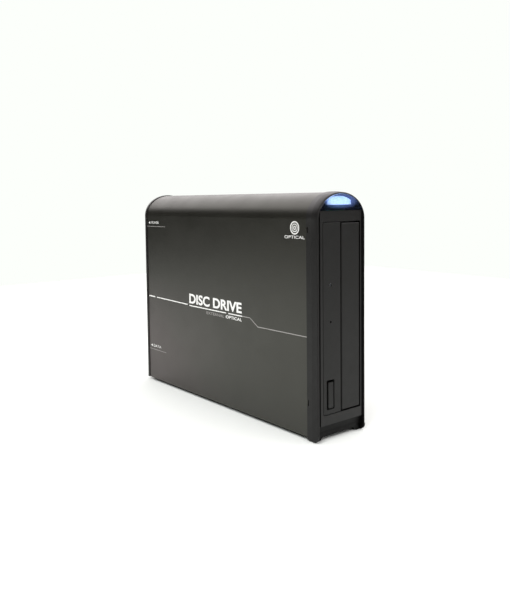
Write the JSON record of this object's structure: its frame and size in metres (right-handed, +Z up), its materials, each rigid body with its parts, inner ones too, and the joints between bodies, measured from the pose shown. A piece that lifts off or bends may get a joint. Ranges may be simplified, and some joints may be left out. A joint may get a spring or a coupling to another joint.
{
  "type": "external optical drive",
  "caption": "Disc drive standing on edge in an arched metal sleeve, with moulded end bezels, a light window, a sliding tray and rear sockets.",
  "frame": {"origin": "centre of the object's box at the level of its feet", "axes": "+Z up, the front bezel faces -Y, +X to the right seen from the front"},
  "size_m": [0.0524, 0.249, 0.188],
  "materials": {
    "sleeve_coat": "black, bead-blasted and anodised, satin",
    "bezel_black": "moulded black plastic with a fine grain",
    "drive_black": "moulded charcoal plastic with a fine spark texture",
    "lens_blue": "deep blue translucent plastic, polished",
    "light_white": "white diffuser, lit icy blue",
    "lamp_clear": "clear epoxy lamp",
    "rubber_black": "moulded rubber",
    "screw_black": "black zinc plated",
    "screw_silver": "zinc plated",
    "sheet_steel": "zinc coated sheet",
    "frame_plastic": "moulded black plastic, filled",
    "tray_plastic": "moulded dark grey plastic",
    "gear_white": "natural acetal",
    "belt_rubber": "square-section rubber",
    "board_green": "solder-masked circuit board",
    "chip_black": "moulded epoxy",
    "socket_black": "moulded black plastic",
    "socket_metal": "nickel plated",
    "pin_metal": "plated brass",
    "rod_steel": "ground and polished",
    "motor_steel": "drawn can, nickel plated",
    "magnet_grey": "nickel plated",
    "pickup_metal": "die cast",
    "lens_glass": "coated lens",
    "cable_grey": "flat grey ribbon",
    "cable_black": "black insulated leads",
    "rocker_black": "gloss black"
  },
  "bodies": {
    "enclosure": {"case_sleeve": "sleeve_coat", "front_bezel": "bezel_black", "light_lens": "lens_blue", "light_diffuser": "light_white", "lamp_board": "board_green", "status_leds": "lamp_clear", "rear_bezel": "bezel_black", "rear_feet": "rubber_black", "case_screws": "screw_black", "drive_bezel": "drive_black", "drive_base": "sheet_steel", "drive_cover": "sheet_steel", "loader_frame": "frame_plastic", "clamp_bridge": "sheet_steel", "loading_motor": "motor_steel", "drive_belt": "belt_rubber", "pivot_grommets": "rubber_black", "drive_board": "board_green", "drive_chips": "chip_black", "drive_sockets": "socket_black", "front_board": "board_green", "eject_switch": "chip_black", "activity_led": "lamp_clear", "inner_chassis": "sheet_steel", "drive_screws": "screw_silver", "bridge_board": "board_green", "board_pillars": "pin_metal", "board_screws": "screw_silver", "bridge_chips": "chip_black", "usb_port": "socket_metal", "usb_tongue": "socket_black", "power_jack": "socket_black", "jack_pin": "pin_metal", "switch_housing": "socket_black", "data_cable": "cable_grey", "power_cable": "cable_black", "light_lead": "cable_black"},
    "tray": {"disc_tray": "tray_plastic", "tray_door": "drive_black"},
    "eject_button": {"eject_button": "drive_black"},
    "rack_gear": {"rack_gear": "gear_white"},
    "pulley_gear": {"pulley_gear": "gear_white"},
    "motor_pulley": {"motor_pulley": "gear_white"},
    "cam_slider": {"cam_slider": "gear_white"},
    "traverse": {"traverse_frame": "frame_plastic", "guide_rods": "rod_steel", "spindle_motor": "motor_steel", "sled_motor": "motor_steel"},
    "spindle": {"turntable": "frame_plastic", "turntable_pad": "rubber_black"},
    "pickup": {"pickup_body": "pickup_metal", "pickup_cover": "frame_plastic"},
    "lead_screw": {"lead_screw": "rod_steel"},
    "lens_carrier": {"lens_carrier": "chip_black", "objective_lens": "lens_glass"},
    "clamp": {"clamp_puck": "frame_plastic", "clamp_magnet": "magnet_grey"},
    "rocker": {"switch_rocker": "rocker_black"}
  },
  "joints": [
    {"name": "tray_slide", "type": "slide", "parent": "enclosure", "child": "tray", "axis": [0, -1, 0], "range_m": [0, 0.136]},
    {"name": "rack_gear_spin", "type": "hinge", "parent": "enclosure", "child": "rack_gear", "pos_m": [0.00005, -0.0997, 0.1227], "axis": [1, 0, 0], "range_deg": [-1, 781.2]},
    {"name": "pulley_gear_spin", "type": "hinge", "parent": "enclosure", "child": "pulley_gear", "pos_m": [-0.00545, -0.1017, 0.10114], "axis": [1, 0, 0], "range_deg": [-2231.4, 3]},
    {"name": "motor_pulley_spin", "type": "hinge", "parent": "enclosure", "child": "motor_pulley", "pos_m": [-0.00495, -0.0987, 0.0667], "axis": [1, 0, 0], "range_deg": [-7686.2, 10]},
    {"name": "eject_press", "type": "slide", "parent": "enclosure", "child": "eject_button", "axis": [0, 1, 0], "range_m": [0, 0.001], "stiffness_N_per_m": 250, "springref_m": -0.0008},
    {"name": "traverse_tilt", "type": "hinge", "parent": "enclosure", "child": "traverse", "pos_m": [-0.00495, 0.0283, 0.0927], "axis": [0, 0, -1], "range_deg": [0, 3]},
    {"name": "cam_slide", "type": "slide", "parent": "enclosure", "child": "cam_slider", "axis": [0, 0, -1], "range_m": [0, 0.0121]},
    {"name": "spindle_spin", "type": "hinge", "parent": "traverse", "child": "spindle", "pos_m": [0.00505, -0.0517, 0.0927], "axis": [1, 0, 0], "continuous": true},
    {"name": "clamp_spin", "type": "hinge", "parent": "enclosure", "child": "clamp", "pos_m": [0.01605, -0.0517, 0.0927], "axis": [1, 0, 0], "continuous": true},
    {"name": "pickup_slide", "type": "slide", "parent": "traverse", "child": "pickup", "axis": [0, 1, 0], "range_m": [0, 0.033]},
    {"name": "lead_screw_spin", "type": "hinge", "parent": "traverse", "child": "lead_screw", "pos_m": [-0.00045, -0.0237, 0.0622], "axis": [0, 1, 0], "range_deg": [-5, 3965]},
    {"name": "lens_focus", "type": "slide", "parent": "pickup", "child": "lens_carrier", "axis": [1, 0, 0], "range_m": [-0.0005, 0.0005], "stiffness_N_per_m": 30},
    {"name": "switch_rock", "type": "hinge", "parent": "enclosure", "child": "rocker", "pos_m": [0, 0.1189, 0.156], "axis": [1, 0, 0], "range_deg": [0, 14]}
  ],
  "couplings": [
    {"joint": "rack_gear_spin", "follows": "tray_slide", "rad_per_m": 100},
    {"joint": "pulley_gear_spin", "follows": "tray_slide", "rad_per_m": -285.71},
    {"joint": "motor_pulley_spin", "follows": "tray_slide", "rad_per_m": -984.47},
    {"joint": "cam_slide", "follows": "traverse_tilt", "m_per_rad": 0.22918},
    {"joint": "clamp_spin", "follows": "spindle_spin", "ratio": 1},
    {"joint": "lead_screw_spin", "follows": "pickup_slide", "rad_per_m": 2094.4}
  ]
}
